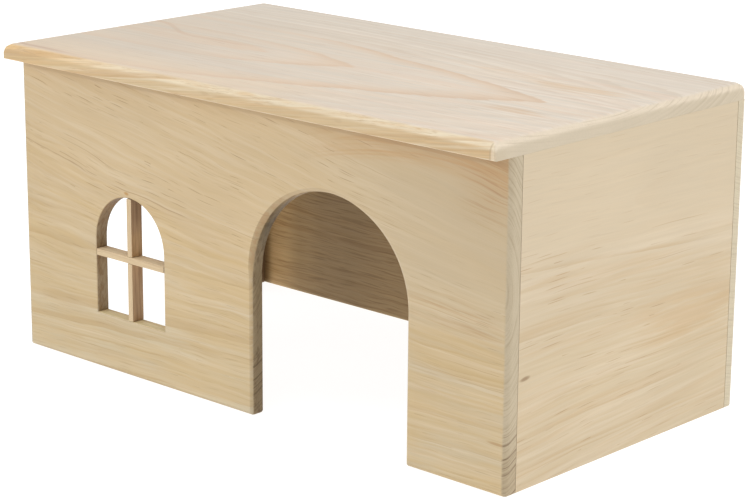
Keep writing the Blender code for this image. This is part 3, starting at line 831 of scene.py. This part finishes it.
def cut(board, cutters):
    for cutter in cutters:
        modifier = board.modifiers.new(cutter.name, "BOOLEAN")
        modifier.operation = "DIFFERENCE"
        modifier.object = cutter
    apply_modifiers(board)


def round_edges(board, radius_at):
    """Round each sharp edge by radius_at(the middle of the edge)."""
    shape = bmesh.new()
    shape.from_mesh(board.data)
    widths = []
    for edge in shape.edges:
        sharp = edge.calc_face_angle(0) > FLAT_ANGLE
        widths.append(radius_at((edge.verts[0].co + edge.verts[1].co) / 2) if sharp else 0)
    shape.free()
    widest = max(widths)
    weights = board.data.attributes.new("bevel_weight_edge", "FLOAT", "EDGE")
    weights.data.foreach_set("value", [width / widest for width in widths])
    bevel = board.modifiers.new("rounding", "BEVEL")
    bevel.limit_method = "WEIGHT"
    bevel.width = widest
    bevel.segments = ROUNDING_SEGMENTS
    bevel.use_clamp_overlap = False
    apply_modifiers(board)


def smooth(piece):
    """Smooth shading that leaves the flat faces flat."""
    piece.data.shade_smooth()
    piece.data.set_sharp_from_angle(angle=SHARP_ANGLE)
    weighted = piece.modifiers.new("flat_faces", "WEIGHTED_NORMAL")
    weighted.keep_sharp = True
    weighted.weight = FLAT_FACE_WEIGHT


def node_corners(name):
    """The low and high corners of a solid of the frame."""
    points = [vertex.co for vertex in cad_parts[name].data.vertices]
    low = Vector([min(point[axis] for point in points) for axis in range(3)])
    high = Vector([max(point[axis] for point in points) for axis in range(3)])
    return low, high


def same(one, other):
    return abs(one - other) < SAME_PLACE


def at_either(value, one, other):
    return same(value, one) or same(value, other)


def in_arch(across, up, centre, width, base, height):
    """Whether a point on a board's face is within the box round an arched opening."""
    beside = abs(across - centre) < width / 2 + SAME_PLACE
    return beside and base - SAME_PLACE < up < base + height + SAME_PLACE


def door_edge_radius(up):
    """The rounding of a door's outer edge, widest at the shoulders of its arch."""
    share = max(1 - ((up - ARCH_SHOULDER) / ARCH_EASE) ** 2, 0)
    return DOOR_EDGE_RADIUS + (ARCH_EDGE_RADIUS - DOOR_EDGE_RADIUS) * share


def roof_radius(low, high):
    def radius_at(middle):
        at_end = at_either(middle.x, low.x, high.x)
        at_side = at_either(middle.y, low.y, high.y)
        at_front = same(middle.y, low.y)
        if same(middle.z, high.z) and (at_end or at_side):
            return ROOF_TOP_RADIUS
        if at_end and at_side:
            return ROOF_CORNER_RADIUS if at_front else ROOF_BACK_CORNER_RADIUS
        return EASED_EDGE_RADIUS if at_front and same(middle.z, low.z) else 0
    return radius_at


def front_radius(low, high):
    def radius_at(middle):
        on_face = same(middle.y, low.y)
        if same(middle.z, low.z):
            return FOOT_EDGE_RADIUS
        if on_face and at_either(middle.x, low.x, high.x):
            return WALL_END_RADIUS
        if in_arch(middle.x, middle.z, DOOR_X, DOOR_WIDTH, 0, DOOR_HEIGHT):
            if on_face:
                return door_edge_radius(middle.z)
            return EASED_EDGE_RADIUS if same(middle.y, high.y) else 0
        if on_face and in_arch(middle.x, middle.z, WINDOW_X, WINDOW_WIDTH, WINDOW_SILL, WINDOW_HEIGHT):
            return WINDOW_EDGE_RADIUS
        return 0
    return radius_at


def back_radius(low, high):
    def radius_at(middle):
        if same(middle.z, low.z):
            return FOOT_EDGE_RADIUS
        at_end = at_either(middle.x, low.x, high.x)
        return WALL_END_RADIUS if at_end and same(middle.y, high.y) else 0
    return radius_at


def side_radius(low, high):
    outer = high.x if high.x > 0 else low.x
    inner = low.x if high.x > 0 else high.x

    def radius_at(middle):
        on_face = same(middle.x, outer)
        on_inside = same(middle.x, inner)
        at_foot = same(middle.z, low.z)
        if at_foot and (on_face or on_inside):
            return FOOT_EDGE_RADIUS
        if in_arch(middle.y, middle.z, ENTRANCE_Y, DOOR_WIDTH, 0, DOOR_HEIGHT):
            if at_foot:
                return FOOT_EDGE_RADIUS
            if on_face:
                return door_edge_radius(middle.z)
            return EASED_EDGE_RADIUS if on_inside else 0
        return 0
    return radius_at


def stand_for(piece, node, material):
    """Give a piece its wood and put it in the place of a solid of the frame."""
    piece.data.materials.clear()
    piece.data.materials.append(material)
    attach(piece, "root")
    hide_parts(node)


def make_board(node, material, radius_of, cutters=()):
    """Build a board of the frame again, with its openings cut and its edges rounded."""
    low, high = node_corners(node)
    if node != "roof_board":
        high.z += GLUE_LINE_FILLED
    board = box(node + "_planed", low, high)
    if cutters:
        cut(board, cutters)
    round_edges(board, radius_of(low, high))
    smooth(board)
    stand_for(board, node, material)


def make_cutters():
    """The blocks that cut the door and the window from the front board and the entrance from the left one."""
    front_low, front_high = node_corners("front_panel")
    side_low, side_high = node_corners("left_side_panel")
    front_middle = (front_low.y + front_high.y) / 2
    side_middle = (side_low.x + side_high.x) / 2
    deep = front_high.y - front_low.y + 2 * CUT_OVERRUN
    door_base = (DOOR_X, front_middle, 0)
    window_base = (WINDOW_X, front_middle, WINDOW_SILL)
    entrance_base = (side_middle, ENTRANCE_Y, 0)
    door = arch_cutter("door", DOOR_WIDTH, DOOR_HEIGHT, door_base, CUT_OVERRUN, 0, deep)
    window = arch_cutter("window", WINDOW_WIDTH, WINDOW_HEIGHT, window_base, 0, 0, deep)
    entrance = arch_cutter("entrance", DOOR_WIDTH, DOOR_HEIGHT, entrance_base, CUT_OVERRUN, pi / 2, deep)
    return door, window, entrance


def make_boards():
    side = side_pine()
    door, window, entrance = make_cutters()
    make_board("roof_board", roof_pine(), roof_radius)
    make_board("front_panel", front_pine(), front_radius, [door, window])
    make_board("back_panel", back_pine(), back_radius)
    make_board("right_side_panel", side, side_radius)
    make_board("left_side_panel", side, side_radius, [entrance])
    for cutter in (door, window, entrance):
        bpy.data.objects.remove(cutter, do_unlink=True)


def dress_carried_nodes():
    """Give the slats and dowels that are carried over from the frame their woods."""
    upright = slat_pine("slat_pine_upright", (2, 0, 1), 53, browned=1, painted_side_light=(1, 1, 1))
    # Painted light on the cross slat's top and bottom faces
    cross = slat_pine("slat_pine_cross", (0, 2, 1), 59, browned=0, painted_side_light=(1.4, 1.48, 1.6))
    slats = {"window_slat_upright": upright, "window_slat_cross": cross}
    dowel = dowel_beech()
    for name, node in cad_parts.items():
        material = dowel if "dowel" in name else slats.get(name)
        if material:
            for slot in node.material_slots:
                slot.material = material


make_camera()
make_studio()
make_floor()
make_boards()
dress_carried_nodes()
